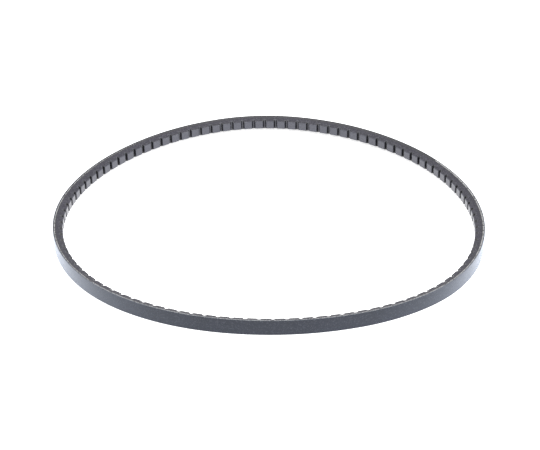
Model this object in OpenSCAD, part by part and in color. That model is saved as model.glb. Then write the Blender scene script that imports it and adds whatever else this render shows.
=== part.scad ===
// Raw-edge cogged V-belt lying free on one flank, as an open egg-shaped loop.
// Z is the direction across the belt's width, with the lower edge of the back at z = 0.
// The belt is moulded from layers, each its own solid: depth is counted inward from the back.

/* [Belt size] */
// Length around the outside of the loop
outside_length = 1150; // [1140:1:1160]
// Width across the back
top_width = 13; // [12.9:0.1:13.4]
// Total thickness, from the back to the tips of the cogs
belt_thickness = 8.3; // [8.2:0.1:8.6]
// Angle between the two flanks
wedge_angle = 40; // [38:1:41]

/* [Layers] */
// Thickness of the rubberised fabric on the back
back_fabric_t = 0.6; // [0.5:0.05:0.7]
// Depth of the cord's centre line below the back
cord_depth = 1.4; // [1.35:0.05:1.5]
// Depth at which the adhesion rubber ends and the compression rubber begins
adhesion_depth = 2.5; // [2.3:0.1:2.8]
// Thickness of the fabric moulded over the cogs
cog_fabric_t = 0.5; // [0.4:0.05:0.6]

/* [Tensile cord] */
// Diameter of the cord
cord_d = 1; // [0.96:0.01:1.02]
// Distance between one turn of the cord and the next
cord_pitch = 1.277; // [1.27:0.001:1.285]
// Direction round the loop in which the top turn is cut in half by the flank
cord_cut_angle = 270; // [0:10:350]

/* [Cogs] */
// Number of cogs around the loop
cog_count = 104; // [100:1:108]
// Depth of the notch between two cogs
notch_depth = 2.9; // [2.6:0.1:3.2]
// Radius of the notch's round root
notch_root_r = 1.25; // [1.1:0.05:1.3]
// Radius of a cog's rounded corners
cog_corner_r = 0.7; // [0.7:0.05:0.9]
// Slope of each notch wall
notch_wall_angle = 12; // [8:1:16]
// Place of the first notch, as a part of the cog pitch
notch_phase = 0.45; // [0:0.01:0.99]

/* [Shape of the relaxed loop] */
// How far the loop bulges along its long axis
oval_bulge = 4.5; // [0:0.1:6]
// Direction of the long axis
oval_turn = -45; // [-90:5:90]
// How far the loop bulges at three corners
egg_bulge = 4.9; // [0:0.1:6]
// Direction of the first of the three corners
egg_turn = -33; // [-60:3:60]
// How far the loop bulges at five slight corners
ripple_bulge = 0.6; // [0:0.1:0.8]
// Direction of the first of the five corners
ripple_turn = 21; // [-36:3:36]

/* [Hidden] */

$fn = 48;
flank_slope = tan(wedge_angle / 2);

// The loop is a chain of arcs, the sectors, that meet tangentially at joints. A joint's direction
// is the way from its arcs' centres to the joint. The directions have exact decimals, so that
// neighbouring sectors meet face to face with no rounding gap.
QUARTER = [[1, 0], [0.96, 0.28], [0.8, 0.6], [0.6, 0.8], [0.28, 0.96]];
function quarter_turn(v, times) = times == 0 ? v : quarter_turn([-v[1], v[0]], times - 1);
joints = [for (q = [0 : 3], v = QUARTER) quarter_turn(v, q)];
SECTORS = len(joints);
function next(i) = (i + 1) % SECTORS;
function direction(v) = (atan2(v[1], v[0]) + 360) % 360;
function start_angle(i) = direction(joints[i]);
function sweep(i) = (direction(joints[next(i)]) - start_angle(i) + 360) % 360;
function middle_angle(i) = start_angle(i) + sweep(i) / 2;

// A bulge with k corners changes the back's radius by bulge * (1 - k^2) * cos(k * angle). This is
// its mean over sector i.
function bulge_r(bulge, corners, turn, i) =
    let (half = corners * sweep(i) / 2)
    bulge * (1 - corners * corners) * cos(corners * (middle_angle(i) - turn))
    * sin(half) / (half * PI / 180);
function back_r(i) = outside_length / (2 * PI)
    + bulge_r(oval_bulge, 2, oval_turn, i)
    + bulge_r(egg_bulge, 3, egg_turn, i)
    + bulge_r(ripple_bulge, 5, ripple_turn, i);
function to_tenth(x) = round(x * 10) / 10;
drawn = [for (i = [0 : SECTORS - 1]) to_tenth(back_r(i))];

// Walking round the drawn arcs misses the start by this much. The four quarters of the loop take
// it up: a quarter gains what the quarter opposite it loses, so that the length stays the same.
function total(list, i = 0) = i == len(list) ? [0, 0] : list[i] + total(list, i + 1);
function before(i) = (i + SECTORS - 1) % SECTORS;
miss = total([for (i = [0 : SECTORS - 1]) (drawn[before(i)] - drawn[i]) * joints[i]]);
quarter_gain = [miss[0] - miss[1], miss[0] + miss[1], miss[1] - miss[0], -miss[0] - miss[1]] / 4;
radii = [for (i = [0 : SECTORS - 1]) drawn[i] + quarter_gain[floor(4 * i / SECTORS)]];

// Arc centres, each found from the one before it, since both arcs share the joint's point
chain = [for (i = 0, c = [0, 0]; i < SECTORS;
              c = c + (radii[i] - radii[next(i)]) * joints[next(i)], i = i + 1) c];
// The loop's outermost points in X and Y are joints
function outermost(q) = let (i = q * SECTORS / 4) chain[i] + radii[i] * joints[i];
loop_middle = [
    (outermost(0)[0] + outermost(2)[0]) / 2,
    (outermost(1)[1] + outermost(3)[1]) / 2
];
centres = [for (c = chain) c - loop_middle];

// Height of the lower flank at a depth, and of the upper flank
function flank_low(depth) = depth * flank_slope;
function flank_high(depth) = top_width - depth * flank_slope;

// Section of a layer between two depths, for a sector whose back has radius r
module layer_section(r, depth_from, depth_to) {
    polygon([
        [r - depth_from, flank_low(depth_from)],
        [r - depth_from, flank_high(depth_from)],
        [r - depth_to, flank_high(depth_to)],
        [r - depth_to, flank_low(depth_to)]
    ]);
}

// A sector is cut from a full turn between these two distances from its centre, well clear of
// the belt on either side
SWEEP_FROM = 100;
SWEEP_TO = 300;
// Cutters reach this far past what they cut
PAST = 1;

// Sweeps its child round sector i, from joint to joint. The child is drawn at the sector's radius.
module sweep_sector(i) {
    from = joints[i];
    to = joints[next(i)];
    translate(centres[i]) intersection() {
        rotate_extrude($fn = 180) children();
        translate([0, 0, -PAST])
            linear_extrude(top_width + 2 * PAST)
            polygon([SWEEP_FROM * from, SWEEP_TO * from, SWEEP_TO * to, SWEEP_FROM * to]);
    }
}

module layer(depth_from, depth_to) {
    for (i = [0 : SECTORS - 1])
        sweep_sector(i) layer_section(radii[i], depth_from, depth_to);
}

// The cord is wound across the width as one helix, which climbs one pitch in each trip round
// the loop. Within a sector it runs level. The flanks cut through its first and last turns.
CORD_TURNS = ceil(top_width / cord_pitch);
// A turn ends where the flank has cut away all but this part of the cord's radius
LEAST_CORD = 0.2;

function flank_gap(z) =
    min(flank_high(cord_depth) - z, z - flank_low(cord_depth)) * cos(wedge_angle / 2);
function cord_height(turn, i) = flank_high(cord_depth)
    + cord_pitch * (turn + (middle_angle(i) - cord_cut_angle) / 360);
function cord_heights(i) = [
    for (turn = [-CORD_TURNS : 1])
        let (z = cord_height(turn, i))
        if (flank_gap(z) > (LEAST_CORD - 1) * cord_d / 2) z
];

// The cord is drawn eight-sided, with two of its corners on the plane that parts the two rubbers
module cord_section(i) {
    for (z = cord_heights(i)) translate([radii[i] - cord_depth, z]) circle(d = cord_d, $fn = 8);
}

// Cogs stand at equal distances along the cord line, which keeps its length when the belt bends
cord_arcs = [for (i = [0 : SECTORS - 1]) (radii[i] - cord_depth) * sweep(i) * PI / 180];
joint_ways = [for (i = 0, way = 0; i <= SECTORS; way = way + cord_arcs[i % SECTORS], i = i + 1) way];
cog_pitch = joint_ways[SECTORS] / cog_count;
function sector_at(way) = max([for (i = [0 : SECTORS - 1]) if (joint_ways[i] <= way) i]);

// A notch starts a little inside the loop, so that its corners meet the curved tips cleanly
MOUTH_LIFT = 0.03;

// Places its child at each notch: X points into the belt from the cog tips, Y along the belt
module at_each_notch() {
    for (n = [0 : cog_count - 1]) {
        way = (n + notch_phase) * cog_pitch;
        i = sector_at(way);
        turned = start_angle(i) + sweep(i) * (way - joint_ways[i]) / cord_arcs[i];
        translate(centres[i])
            rotate(turned)
            translate([radii[i] - belt_thickness - MOUTH_LIFT, 0])
            children();
    }
}

function ray(angle) = [cos(angle), sin(angle)];
function arc(centre, r, from, to, steps) =
    [for (k = [0 : steps]) centre + r * ray(from + (to - from) * k / steps)];
function mirrored(points) = [for (k = [len(points) - 1 : -1 : 0]) [points[k][0], -points[k][1]]];
CORNER_STEPS = 3;
ROOT_STEPS = 3;

// Outline of a notch, moved into the belt by grow: the round corners of the cogs on either side,
// two sloping walls and a round root. It starts at the depth from_depth below the tips.
module notch_outline(grow, from_depth) {
    root = [notch_depth - notch_root_r, 0];
    reach = cog_corner_r + notch_root_r;
    corner_y = (reach - (reach - notch_depth) * sin(notch_wall_angle)) / cos(notch_wall_angle);
    corner = [cog_corner_r, corner_y];
    wall_square = 90 - notch_wall_angle;
    half = concat(
        [[from_depth, corner_y]],
        arc(corner, cog_corner_r - grow, 180, 180 + wall_square, CORNER_STEPS),
        arc(root, notch_root_r + grow, wall_square, 0, ROOT_STEPS)
    );
    polygon(concat(half, mirrored([for (k = [0 : len(half) - 2]) half[k]])));
}

module notch_cutters(grow, from_depth) {
    at_each_notch()
        translate([0, 0, -PAST])
        linear_extrude(top_width + 2 * PAST)
        notch_outline(grow, from_depth);
}

// Woven fabric bonded over the back
module back_fabric() {
    color([0.16, 0.17, 0.19]) layer(0, back_fabric_t);
}

// A layer that is grooved by the half of each cord turn that lies in it
module grooved_layer(depth_from, depth_to) {
    for (i = [0 : SECTORS - 1]) sweep_sector(i) difference() {
        layer_section(radii[i], depth_from, depth_to);
        cord_section(i);
    }
}

// Soft rubber between the back fabric and the cord's centre line
module upper_adhesion_rubber() {
    color([0.10, 0.10, 0.11]) grooved_layer(back_fabric_t, cord_depth);
}

// One continuous twisted cord
module tensile_cord() {
    color([0.62, 0.62, 0.60])
        for (i = [0 : SECTORS - 1]) sweep_sector(i) intersection() {
            layer_section(radii[i], back_fabric_t, adhesion_depth);
            cord_section(i);
        }
}

// Soft rubber between the cord's centre line and the compression rubber
module lower_adhesion_rubber() {
    color([0.10, 0.10, 0.11]) grooved_layer(cord_depth, adhesion_depth);
}

// Stiff, fibre-filled rubber that carries the cogs
module compression_rubber() {
    color([0.24, 0.24, 0.27])
        difference() {
            layer(adhesion_depth, belt_thickness - cog_fabric_t);
            notch_cutters(cog_fabric_t, -PAST);
        }
}

// Fabric that follows the cogs and notches: a flat layer over the cogs' tips, and a lining in
// each notch that runs up into the flat layer and ends this far short of the tips
LINING_END = 0.1;

module cog_fabric() {
    color([0.34, 0.34, 0.36])
        difference() {
            union() {
                layer(belt_thickness - cog_fabric_t, belt_thickness);
                intersection() {
                    layer(
                        belt_thickness - notch_depth - cog_fabric_t - PAST,
                        belt_thickness - LINING_END
                    );
                    notch_cutters(cog_fabric_t, cog_fabric_t / 2);
                }
            }
            notch_cutters(0, -PAST);
        }
}

back_fabric();
upper_adhesion_rubber();
tensile_cord();
lower_adhesion_rubber();
compression_rubber();
cog_fabric();
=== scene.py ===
"""Raw-edge cogged V-belt lying on one flank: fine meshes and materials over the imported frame."""
import math

import bpy
from mathutils import Matrix, Vector


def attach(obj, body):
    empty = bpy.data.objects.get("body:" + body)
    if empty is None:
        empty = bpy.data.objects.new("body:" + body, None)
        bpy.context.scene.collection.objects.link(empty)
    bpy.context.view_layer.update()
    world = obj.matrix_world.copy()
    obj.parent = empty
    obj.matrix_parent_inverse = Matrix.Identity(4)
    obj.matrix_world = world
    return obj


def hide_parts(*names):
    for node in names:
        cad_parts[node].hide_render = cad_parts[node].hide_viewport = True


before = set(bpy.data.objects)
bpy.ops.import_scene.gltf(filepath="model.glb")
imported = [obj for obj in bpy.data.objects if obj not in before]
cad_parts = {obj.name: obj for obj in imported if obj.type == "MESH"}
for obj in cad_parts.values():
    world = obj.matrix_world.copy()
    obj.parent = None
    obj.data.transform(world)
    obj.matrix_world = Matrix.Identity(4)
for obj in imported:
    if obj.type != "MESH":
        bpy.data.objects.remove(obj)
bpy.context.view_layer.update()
MM = 0.001

# ---- the belt's sizes in millimetres, the same as in the frame ----
OUTSIDE_LENGTH = 1150
TOP_WIDTH = 13
THICKNESS = 8.3
FLANK_SLOPE = math.tan(math.radians(20))
FABRIC_T = 0.6
CORD_DEPTH = 1.4
ADHESION_DEPTH = 2.5
COG_FABRIC_T = 0.5
CORD_R = 0.5
CORD_PITCH = 1.277
CORD_CUT_ANGLE = math.radians(270)
CORD_TURNS = math.ceil(TOP_WIDTH / CORD_PITCH)
COGS = 104
NOTCH_DEPTH = 2.9
NOTCH_ROOT_R = 1.25
COG_CORNER_R = 0.7
NOTCH_WALL = math.radians(12)
NOTCH_PHASE = 0.45
MOUTH_LIFT = 0.03
# Bulge, number of corners and turn in degrees of each departure from a circle
BULGES = ((4.5, 2, -45), (4.9, 3, -33), (0.6, 5, 21))
# Directions of the joints between the loop's arcs in its first quarter
QUARTER = ((1, 0), (0.96, 0.28), (0.8, 0.6), (0.6, 0.8), (0.28, 0.96))

# ---- fine detail in millimetres, which only the visual model has ----
# Rounded corner of the back: depth, and distance in from the edge of the full width
BACK_CORNER = ((0, 0.4), (0.03, 0.18), (0.12, 0.09))
BACK_FLANK_START = 0.3
# The soft rubber is cut back on each flank, by this much beside the back fabric and by half of it
# beside the compression rubber. Between the middle two depths it is flush with the flank.
ADHESION_CUT = 0.1
CUT_DEPTHS = (0.8, 0.92, 1.9, 2.1)
# Distance along the loop between two sections of a plain layer
PLAIN_SPACING = 1.5
NOTCH_ARC_STEPS = 6
LAND_START = 0.3
# The cog cover's outer corners are cut off by this much, starting this far through its thickness
COVER_BEVEL = 0.16
BEVEL_START = 0.7
COVER_SHARES = (0, 0.08, 0.35, 0.65, 0.92, 1)
SHARP_ANGLE = math.radians(40)
CORD_STRANDS = 3
# Distance along the cord from one strand's crest to the next
CORD_TWIST = 2.2
STRAND_GROOVE = 0.1
# Where a flank cuts the cord, the grooves between its strands stand proud of the flank by the
# first distance, and its crests by the second distance more
CORD_PROUD = 0.03
CREST_PROUD = 0.1
# The cord is drawn where its centre is this far inside a flank, in parts of its radius, and it
# is bared by the flank up to the second distance
LEAST_GAP = -0.8
BARED_GAP = 1.1
BARED_SIDES = 12
HIDDEN_SIDES = 6
RINGS_PER_CREST = 6
HIDDEN_RING_STEP = 3
# The cord's start is looked for in steps, over this many trips more than it has turns
CORD_SEARCH_STEP = 0.5
SPARE_TRIPS = 2


# ---- the loop: a chain of tangent arcs ----
def quarter_turn(v, times):
    for _ in range(times):
        v = (-v[1], v[0])
    return Vector(v)


def mean_radius(middle, sweep):
    r = OUTSIDE_LENGTH / math.tau
    for bulge, corners, turn in BULGES:
        half = corners * sweep / 2
        wave = math.cos(corners * (middle - math.radians(turn)))
        r += bulge * (1 - corners * corners) * wave * math.sin(half) / half
    return round(r, 1)


class Loop:
    """Places points by their way along the cord line, depth below the back and height, in mm."""

    def __init__(self):
        joints = [quarter_turn(v, q) for q in range(4) for v in QUARTER]
        count = len(joints)
        self.starts = [math.atan2(j[1], j[0]) % math.tau for j in joints]
        ends = self.starts[1:] + self.starts[:1]
        self.sweeps = [(end - start) % math.tau for start, end in zip(self.starts, ends)]
        radii = [mean_radius(a + s / 2, s) for a, s in zip(self.starts, self.sweeps)]
        miss = sum(((radii[i - 1] - radii[i]) * joints[i] for i in range(count)), Vector((0, 0)))
        gains = (miss[0] - miss[1], miss[0] + miss[1], miss[1] - miss[0], -miss[0] - miss[1])
        self.radii = [r + gains[4 * i // count] / 4 for i, r in enumerate(radii)]
        chain = [Vector((0, 0))]
        for i in range(1, count):
            chain.append(chain[-1] + (self.radii[i - 1] - self.radii[i]) * joints[i])
        outer = [chain[i] + self.radii[i] * joints[i] for i in range(0, count, count // 4)]
        middle = Vector(((outer[0][0] + outer[2][0]) / 2, (outer[1][1] + outer[3][1]) / 2))
        self.centres = [c - middle for c in chain]
        self.ways = [0]
        for r, sweep in zip(self.radii, self.sweeps):
            self.ways.append(self.ways[-1] + (r - CORD_DEPTH) * sweep)
        self.length = self.ways[-1]

    def arc_at(self, way):
        return max(i for i in range(len(self.radii)) if self.ways[i] <= way % self.length)

    def angle(self, way):
        i = self.arc_at(way)
        return self.starts[i] + (way % self.length - self.ways[i]) / (self.radii[i] - CORD_DEPTH)

    def place(self, way, depth, z):
        i = self.arc_at(way)
        turned = self.angle(way)
        reach = self.radii[i] - depth
        x = self.centres[i][0] + reach * math.cos(turned)
        y = self.centres[i][1] + reach * math.sin(turned)
        return (x * MM, y * MM, z * MM)


LOOP = Loop()
COG_PITCH = LOOP.length / COGS
# Length at the cog tips over length on the cord line, for the mean radius
TIP_SHARE = 1 - (THICKNESS - CORD_DEPTH) * math.tau / LOOP.length


def flank_low(depth):
    return depth * FLANK_SLOPE


def flank_high(depth):
    return TOP_WIDTH - depth * FLANK_SLOPE


# ---- meshes ----
def new_piece(name, points, faces, uvs, heights=None):
    """heights is one value a vertex, kept as the attribute cog_height."""
    mesh = bpy.data.meshes.new(name)
    mesh.from_pydata(points, [], faces)
    layer = mesh.uv_layers.new(name="belt")
    layer.data.foreach_set("uv", [c for uv in uvs for c in uv])
    if heights:
        attribute = mesh.attributes.new("cog_height", "FLOAT", "POINT")
        attribute.data.foreach_set("value", heights)
    mesh.validate()
    mesh.update()
    piece = bpy.data.objects.new(name, mesh)
    bpy.context.scene.collection.objects.link(piece)
    return piece


def loft(name, stations, heights=None):
    """A closed skin through rings of (way, depth, z), one ring a station, right round the loop.

    UVs are metres along the belt and round the ring."""
    ring = len(stations[0])
    count = len(stations)
    points = [LOOP.place(*p) for s in stations for p in s]
    faces = []
    uvs = []
    for i in range(count):
        j = (i + 1) % count
        around = 0
        for k in range(ring):
            m = (k + 1) % ring
            step = math.dist(stations[i][k][1:], stations[i][m][1:]) * MM
            u, v = stations[i][k][0] * MM, stations[j][k][0] * MM
            if j == 0:
                v += LOOP.length * MM
            faces.append((i * ring + k, j * ring + k, j * ring + m, i * ring + m))
            uvs += [(u, around), (v, around), (v, around + step), (u, around + step)]
            around += step
    return new_piece(name, points, faces, uvs, heights)


def plain_stations(section):
    count = round(LOOP.length / PLAIN_SPACING)
    return [[(LOOP.length * i / count, d, z) for d, z in section] for i in range(count)]


def symmetric(upper):
    """A section's ring from its upper half, which runs from the outside in."""
    return upper + [(d, TOP_WIDTH - z) for d, z in reversed(upper)]


def make_back_cover():
    upper = [(depth, TOP_WIDTH - inset) for depth, inset in BACK_CORNER]
    upper += [(depth, flank_high(depth)) for depth in (BACK_FLANK_START, FABRIC_T)]
    return loft("back_cover", plain_stations(symmetric(upper)))


def make_adhesion_layers():
    """The soft rubber round the cord. A shallow groove parts it from the fabric on each flank."""
    depths = (FABRIC_T, *CUT_DEPTHS, ADHESION_DEPTH)
    cuts = (ADHESION_CUT, ADHESION_CUT, 0, 0, ADHESION_CUT / 2, ADHESION_CUT / 2)
    upper = [(depth, flank_high(depth) - cut) for depth, cut in zip(depths, cuts)]
    return loft("adhesion_layers", plain_stations(symmetric(upper)))


def notch_profile(grow):
    """Half a cog pitch, from a notch's middle to a land, moved into the belt by grow.

    Each point is (distance from the notch's middle, depth below the back, height on the cog)."""
    reach = COG_CORNER_R + NOTCH_ROOT_R
    corner_y = (reach - (reach - NOTCH_DEPTH) * math.sin(NOTCH_WALL)) / math.cos(NOTCH_WALL)
    root_x = NOTCH_DEPTH - NOTCH_ROOT_R
    root_r = NOTCH_ROOT_R + grow
    corner_r = COG_CORNER_R - grow
    angles = [(math.pi / 2 - NOTCH_WALL) * k / NOTCH_ARC_STEPS for k in range(NOTCH_ARC_STEPS + 1)]
    points = [(root_x + root_r * math.cos(a), root_r * math.sin(a)) for a in angles]
    for a in reversed(angles):
        points.append((COG_CORNER_R - corner_r * math.cos(a), corner_y - corner_r * math.sin(a)))
    land = corner_y + LAND_START
    points += [(grow, land), (grow, (land + COG_PITCH * TIP_SHARE / 2) / 2)]
    top = grow + MOUTH_LIFT
    deepest = root_x + root_r
    profile = []
    for x, y in points:
        x = max(x, top)
        profile.append((y, THICKNESS + MOUTH_LIFT - x, 1 - (x - top) / (deepest - top)))
    return profile


def pitch_profile(grow):
    """A whole pitch, from one notch's middle to the next, as (distance, depth, height)."""
    half = notch_profile(grow)
    land_middle = (COG_PITCH * TIP_SHARE / 2, half[-1][1], 1)
    return [(-y, depth, height) for y, depth, height in reversed(half[1:])] + half + [land_middle]


def cog_stations(profile):
    """(way, depth, height) at every profile point round the loop. Distances at a depth become ways
    on the cord line."""
    rows = []
    for cog in range(COGS):
        middle = (cog + NOTCH_PHASE) * COG_PITCH
        r = LOOP.radii[LOOP.arc_at(middle)]
        for y, depth, height in profile:
            rows.append((middle + math.atan2(y, r - depth) * (r - CORD_DEPTH), depth, height))
    return rows


def make_cogged_rubber():
    stations = []
    for way, depth, _ in cog_stations(pitch_profile(COG_FABRIC_T)):
        middle = (ADHESION_DEPTH + depth) / 2
        upper = [(d, flank_high(d)) for d in (ADHESION_DEPTH, middle, depth)]
        stations.append([(way, d, z) for d, z in symmetric(upper)])
    return loft("cogged_rubber", stations)


def make_cog_cover():
    """The fabric over the cogs, between the moulded rubber and the finished outline."""
    stations = []
    heights = []
    inner = cog_stations(pitch_profile(COG_FABRIC_T))
    outer = cog_stations(pitch_profile(0))
    for (way_in, depth_in, _), (way_out, depth_out, height) in zip(inner, outer):
        way = way_in + (way_out - way_in) * BEVEL_START
        depth = depth_in + (depth_out - depth_in) * BEVEL_START
        high = flank_high(depth_out) - COVER_BEVEL
        width = high - flank_low(depth_out) - COVER_BEVEL
        ring = [(way_in, depth_in, flank_high(depth_in)), (way, depth, flank_high(depth))]
        ring += [(way_out, depth_out, high - width * share) for share in COVER_SHARES]
        ring += [(way, depth, flank_low(depth)), (way_in, depth_in, flank_low(depth_in))]
        stations.append(ring)
        heights += [height] * len(ring)
    return loft("cog_cover", stations, heights)


def cord_gap(z):
    """How far the cord's centre lies inside the nearer flank, square to it."""
    share = math.cos(math.atan(FLANK_SLOPE))
    return min(flank_high(CORD_DEPTH) - z, z - flank_low(CORD_DEPTH)) * share


def cord_z(way):
    """Height of the cord's centre: it climbs one pitch in each trip, and way counts trips on."""
    trip = math.floor(way / LOOP.length)
    climbed = trip + (LOOP.angle(way) - CORD_CUT_ANGLE) / math.tau
    return flank_high(CORD_DEPTH) + CORD_PITCH * (climbed - CORD_TURNS)


def cord_runs():
    """Places of the cord's rings in runs: fine rings where a flank bares it, coarse ones inside."""
    runs = []
    last = None
    way = -SPARE_TRIPS * LOOP.length
    while way < (CORD_TURNS + SPARE_TRIPS) * LOOP.length:
        gap = cord_gap(cord_z(way))
        if gap < LEAST_GAP * CORD_R:
            last = None
            way += CORD_SEARCH_STEP
            continue
        bared = gap < BARED_GAP * CORD_R
        if last is None:
            runs.append((bared, [way]))
        elif last[0] != bared:
            runs.append((bared, [last[1], way]))
        else:
            runs[-1][1].append(way)
        last = (bared, way)
        way += CORD_TWIST / RINGS_PER_CREST if bared else HIDDEN_RING_STEP
    return [run for run in runs if len(run[1]) > 1]


def cord_ring(way, sides):
    """One ring of the cord. Where a flank cuts it, it stands a little proud, most at the crests."""
    z = cord_z(way)
    ring = []
    for k in range(sides):
        angle = math.tau * k / sides
        crest = math.cos(math.tau * (CORD_STRANDS * k / sides - way / CORD_TWIST))
        r = CORD_R * (1 - STRAND_GROOVE + STRAND_GROOVE * crest)
        depth = CORD_DEPTH - r * math.cos(angle)
        lift = CORD_PROUD + CREST_PROUD * (crest + 1) / 2
        height = z + r * math.sin(angle)
        height = max(min(height, flank_high(depth) + lift), flank_low(depth) - lift)
        ring.append(LOOP.place(way, depth, height))
    return ring


def make_cord():
    """One cord wound as a helix: three twisted strands, trimmed where a flank cuts through it."""
    points = []
    faces = []
    uvs = []
    for bared, ways in cord_runs():
        sides = BARED_SIDES if bared else HIDDEN_SIDES
        start = len(points)
        for way in ways:
            points += cord_ring(way, sides)
        around = [(k, (k + 1) % sides) for k in range(sides)]
        for i, (way, next_way) in enumerate(zip(ways, ways[1:])):
            base = start + i * sides
            for k, m in around:
                faces.append((base + k, base + sides + k, base + sides + m, base + m))
                low, high = k / sides, (k + 1) / sides
                u, v = way * MM, next_way * MM
                uvs += [(u, low), (v, low), (v, high), (u, high)]
        end = len(points) - sides
        faces.append(tuple(start + k for k in range(sides)))
        faces.append(tuple(end + k for k in reversed(range(sides))))
        uvs += [(ways[0] * MM, k / sides) for k in range(sides)]
        uvs += [(ways[-1] * MM, k / sides) for k in reversed(range(sides))]
    return new_piece("cord_helix", points, faces, uvs)


# ---- materials ----
class Nodes:
    """Short calls for building one material's node tree."""

    def __init__(self, name, specular=0.5, sheen=0.0, sheen_tint=(1, 1, 1)):
        self.material = bpy.data.materials.new(name)
        self.material.use_nodes = True
        self.tree = self.material.node_tree
        self.shader = self.tree.nodes["Principled BSDF"]
        self.shader.inputs["Specular IOR Level"].default_value = specular
        self.shader.inputs["Sheen Weight"].default_value = sheen
        self.shader.inputs["Sheen Tint"].default_value = (*sheen_tint, 1)

    def add(self, kind, **values):
        node = self.tree.nodes.new(kind)
        for key, value in values.items():
            if key in node.inputs:
                node.inputs[key].default_value = value
            else:
                setattr(node, key, value)
        return node

    def link(self, output, socket):
        self.tree.links.new(output, socket)

    def mapped(self, source, **values):
        """Coordinates in metres, "UV" or "Object", through a mapping such as Scale."""
        coordinates = self.add("ShaderNodeTexCoord")
        mapping = self.add("ShaderNodeMapping", **values)
        self.link(coordinates.outputs[source], mapping.inputs["Vector"])
        return mapping.outputs["Vector"]

    def split(self, source):
        """The three outputs X, Y and Z of the coordinates "UV" or "Object"."""
        coordinates = self.add("ShaderNodeTexCoord")
        node = self.add("ShaderNodeSeparateXYZ")
        self.link(coordinates.outputs[source], node.inputs["Vector"])
        return node.outputs

    def noise(self, scale, detail=3.0, roughness=0.6, source="Object"):
        node = self.add("ShaderNodeTexNoise", Scale=1.0, Detail=detail, Roughness=roughness)
        self.link(self.mapped(source, Scale=scale), node.inputs["Vector"])
        return node.outputs["Fac"]

    def weave(self, scale):
        """Two sets of parallel ridges across the UVs, at right angles to each other."""
        sets = []
        for turn in (math.pi / 4, -math.pi / 4):
            node = self.add("ShaderNodeTexWave", Scale=scale, Distortion=0.6, Detail=1.0)
            self.link(self.mapped("UV", Rotation=(0, 0, turn)), node.inputs["Vector"])
            sets.append(node.outputs["Fac"])
        return self.maths("MULTIPLY", *sets)

    def remap(self, value, low, high, to_low=0.0, to_high=1.0):
        node = self.add("ShaderNodeMapRange")
        self.link(value, node.inputs["Value"])
        names = ("From Min", "From Max", "To Min", "To Max")
        for key, number in zip(names, (low, high, to_low, to_high)):
            node.inputs[key].default_value = number
        return node.outputs["Result"]

    def maths(self, operation, a, b):
        node = self.add("ShaderNodeMath", operation=operation)
        for socket, value in zip(node.inputs, (a, b)):
            if isinstance(value, (int, float)):
                socket.default_value = value
            else:
                self.link(value, socket)
        return node.outputs["Value"]

    def mix(self, share, a, b):
        node = self.add("ShaderNodeMix", data_type="RGBA")
        self.link(share, node.inputs["Factor"])
        for socket, value in ((node.inputs[6], a), (node.inputs[7], b)):
            if isinstance(value, tuple):
                socket.default_value = (*value, 1)
            else:
                self.link(value, socket)
        return node.outputs[2]

    def edge(self, width):
        """1 at the belt's two long edges of the back, falling to 0 at width metres from them."""
        centred = self.maths("SUBTRACT", self.split("Object")["Z"], TOP_WIDTH * MM / 2)
        distance = self.maths("ABSOLUTE", centred, 0)
        return self.remap(distance, TOP_WIDTH * MM / 2 - width, TOP_WIDTH * MM / 2)

    def finish(self, colour, roughness, bumps):
        self.link(colour, self.shader.inputs["Base Color"])
        self.link(roughness, self.shader.inputs["Roughness"])
        last = None
        for height, strength, distance in bumps:
            bump = self.add("ShaderNodeBump", Strength=strength, Distance=distance)
            self.link(height, bump.inputs["Height"])
            if last:
                self.link(last, bump.inputs["Normal"])
            last = bump.outputs["Normal"]
        self.link(last, self.shader.inputs["Normal"])
        return self.material


def back_material():
    """Rubberised woven fabric: a fine diagonal weave with a sheen, painted pale along its edges as
    a highlight.
    """
    n = Nodes("back_fabric", specular=0.2, sheen=0.76, sheen_tint=(0.74, 0.83, 1))
    weave = n.weave(300)
    cloud = n.noise((45, 45, 45))
    fine = n.noise((900, 900, 900), detail=2)
    colour = n.mix(n.remap(cloud, 0.3, 0.7), (0.002, 0.003, 0.008), (0.005, 0.006, 0.014))
    colour = n.mix(n.remap(fine, 0.5, 0.75), colour, (0.030, 0.032, 0.044))
    # Painted highlight: pale colour along the back's two long edges, broken up by the fine noise.
    edge_highlight = n.maths("MULTIPLY", n.edge(0.00022), n.remap(fine, 0.2, 0.6))
    colour = n.mix(edge_highlight, colour, (0.22, 0.222, 0.235))
    grain = n.maths("MULTIPLY", fine, 0.06)
    roughness = n.maths("ADD", n.remap(cloud, 0.2, 0.8, 0.12, 0.19), grain)
    return n.finish(colour, roughness, [(weave, 0.7, 0.00006), (fine, 0.4, 0.00006)])


def adhesion_material():
    """Soft rubber, cut with the belt's raw edge: dark, with faint drag lines along the cut."""
    n = Nodes("adhesion_rubber")
    drag = n.noise((150, 6000, 6000), source="UV")
    cloud = n.noise((120, 120, 120))
    colour = n.mix(n.remap(drag, 0.3, 0.7), (0.012, 0.012, 0.014), (0.030, 0.029, 0.034))
    colour = n.mix(n.remap(cloud, 0.4, 0.8, 0, 0.4), colour, (0.05, 0.05, 0.056))
    roughness = n.remap(cloud, 0.2, 0.8, 0.5, 0.65)
    return n.finish(colour, roughness, [(drag, 0.3, 0.00004)])


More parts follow.
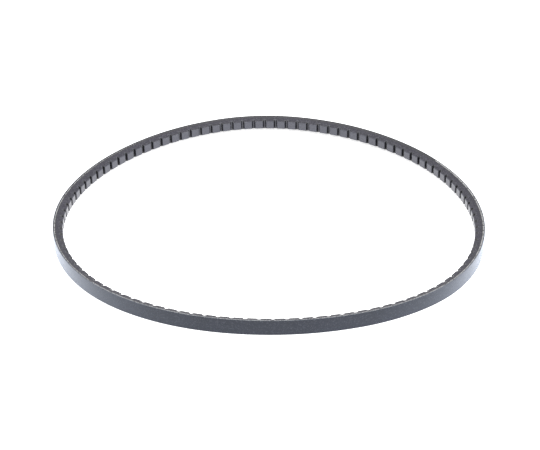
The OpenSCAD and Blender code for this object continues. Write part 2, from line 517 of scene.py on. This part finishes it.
def cord_material():
    """Twisted polyester: pale fibres, darker where rubber is left between the strands."""
    n = Nodes("cord", specular=0.4, sheen=0.2)
    fibre = n.noise((900, 30, 1), detail=4, source="UV")
    patch = n.noise((420, 420, 420), detail=3)
    place = n.split("UV")
    across = n.maths("MULTIPLY", place["Y"], math.tau * CORD_STRANDS)
    along = n.maths("MULTIPLY", place["X"], math.tau / (CORD_TWIST * MM))
    strand = n.maths("COSINE", n.maths("SUBTRACT", across, along), 0)
    colour = n.mix(n.remap(fibre, 0.3, 0.7), (0.30, 0.30, 0.31), (0.66, 0.66, 0.66))
    colour = n.mix(n.remap(strand, -0.6, 0.3, 1, 0), colour, (0.05, 0.05, 0.056))
    colour = n.mix(n.remap(patch, 0.49, 0.60), colour, (0.06, 0.06, 0.066))
    roughness = n.remap(fibre, 0.2, 0.8, 0.55, 0.8)
    return n.finish(colour, roughness, [(fibre, 0.5, 0.00006), (strand, 0.4, 0.00006)])


def rubber_material():
    """Fibre-filled rubber, ground on its flanks: purple-grey and matte, with short pale fibres."""
    n = Nodes("compression_rubber", specular=0.4)
    fibres = n.noise((2600, 2600, 700), detail=3, roughness=0.7)
    flecks = n.noise((700, 700, 500), detail=2, roughness=0.7)
    grind = n.noise((500, 9000, 9000), detail=2, source="UV")
    cloud = n.noise((70, 70, 70))
    colour = n.mix(n.remap(cloud, 0.3, 0.7), (0.009, 0.0086, 0.015), (0.020, 0.019, 0.030))
    colour = n.mix(n.remap(flecks, 0.5, 0.70, 0, 0.6), colour, (0.088, 0.086, 0.106))
    colour = n.mix(n.remap(fibres, 0.55, 0.70), colour, (0.12, 0.118, 0.145))
    colour = n.mix(n.remap(grind, 0.55, 0.75, 0, 0.5), colour, (0.03, 0.028, 0.034))
    roughness = n.remap(cloud, 0.2, 0.8, 0.55, 0.72)
    return n.finish(colour, roughness, [(fibres, 0.4, 0.00006), (grind, 0.25, 0.00004)])


def cog_material():
    """Knitted fabric: pale on the lands from wear, nearly black on the walls, partly dark fabric
    and partly painted shade in the notches, grey at the roots.
    """
    n = Nodes("cog_fabric")
    knit = n.weave(400)
    cloud = n.noise((160, 160, 160))
    fine = n.noise((1600, 1600, 1600), detail=2)
    height = n.add("ShaderNodeAttribute", attribute_name="cog_height").outputs["Fac"]
    # Pale on the lands and darker down the notch walls: partly wear of the fabric, partly painted
    # shade in the notches.
    land_wear_and_notch_shade = n.maths("MULTIPLY", n.remap(height, 0.75, 1.0), n.remap(fine, 0.2, 0.6, 0.6, 1.0))
    root = n.remap(height, 0.02, 0.2, 1, 0)
    colour = n.mix(n.remap(cloud, 0.3, 0.7), (0.010, 0.010, 0.013), (0.018, 0.018, 0.022))
    colour = n.mix(root, colour, (0.048, 0.049, 0.064))
    colour = n.mix(land_wear_and_notch_shade, colour, (0.060, 0.062, 0.082))
    roughness = n.remap(cloud, 0.2, 0.8, 0.20, 0.30)
    return n.finish(colour, roughness, [(knit, 0.3, 0.00006), (fine, 0.2, 0.00003)])


def dress(piece, material, slot, *nodes):
    piece.data.materials.append(material)
    piece.data.shade_smooth()
    piece.data.set_sharp_from_angle(angle=SHARP_ANGLE)
    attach(piece, "root")
    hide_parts(*nodes)


dress(make_back_cover(), back_material(), "back_fabric", "back_fabric")
dress(
    make_adhesion_layers(), adhesion_material(), "adhesion_rubber",
    "upper_adhesion_rubber", "lower_adhesion_rubber",
)
dress(make_cord(), cord_material(), "cord", "tensile_cord")
dress(make_cogged_rubber(), rubber_material(), "compression_rubber", "compression_rubber")
dress(make_cog_cover(), cog_material(), "cog_fabric", "cog_fabric")


# ---- floor, light and camera ----
def make_floor():
    """White paper. It shines a little by itself, which keeps the belt's shadow faint."""
    half = 4.0
    mesh = bpy.data.meshes.new("floor")
    corners = [(-half, -half, 0), (half, -half, 0), (half, half, 0), (-half, half, 0)]
    mesh.from_pydata(corners, [], [(0, 1, 2, 3)])
    floor = bpy.data.objects.new("floor", mesh)
    bpy.context.scene.collection.objects.link(floor)
    n = Nodes("floor", specular=0.2)
    paper = n.noise((30, 30, 30))
    colour = n.mix(paper, (0.93, 0.93, 0.93), (0.95, 0.95, 0.95))
    roughness = n.remap(paper, 0, 1, 0.75, 0.85)
    n.shader.inputs["Emission Color"].default_value = (1, 1, 1, 1)
    n.shader.inputs["Emission Strength"].default_value = 0.72
    mesh.materials.append(n.finish(colour, roughness, [(paper, 0.02, 0.0001)]))


# Name, power in watts, size and place in metres. Each faces the middle of the belt.
SOFTBOXES = (
    ("softbox_above", 26, 1.6, (0, 0.3, 1.8)),
    ("softbox_right", 8, 0.8, (1.1, -0.5, 0.45)),
)


def make_light():
    world = bpy.data.worlds.new("studio")
    world.use_nodes = True
    background = world.node_tree.nodes["Background"]
    background.inputs["Color"].default_value = (1, 1, 1, 1)
    background.inputs["Strength"].default_value = 1.0
    bpy.context.scene.world = world
    for name, power, size, place in SOFTBOXES:
        softbox = bpy.data.lights.new(name, "AREA")
        softbox.energy = power
        softbox.size = size
        lamp = bpy.data.objects.new(name, softbox)
        lamp.location = place
        lamp.rotation_euler = (-Vector(place)).to_track_quat("-Z", "Y").to_euler()
        bpy.context.scene.collection.objects.link(lamp)


def make_camera():
    """Looks along +Y, pitched down, and rolled a little clockwise."""
    pitch = math.radians(29.21)
    roll = math.radians(-1.55)
    distance = 1.365
    target = Vector((0.0021, -0.0101, 0))
    camera = bpy.data.objects.new("camera", bpy.data.cameras.new("camera"))
    camera.data.sensor_width = 36
    camera.data.lens = 105.9
    camera.data.clip_start = 0.05
    away = Vector((0, -math.cos(pitch), math.sin(pitch)))
    turn = Matrix.Rotation(math.pi / 2 - pitch, 4, "X") @ Matrix.Rotation(roll, 4, "Z")
    camera.matrix_world = Matrix.Translation(target + distance * away) @ turn
    bpy.context.scene.collection.objects.link(camera)
    bpy.context.scene.camera = camera


make_floor()
make_light()
make_camera()
bpy.context.scene.view_settings.view_transform = "Standard"
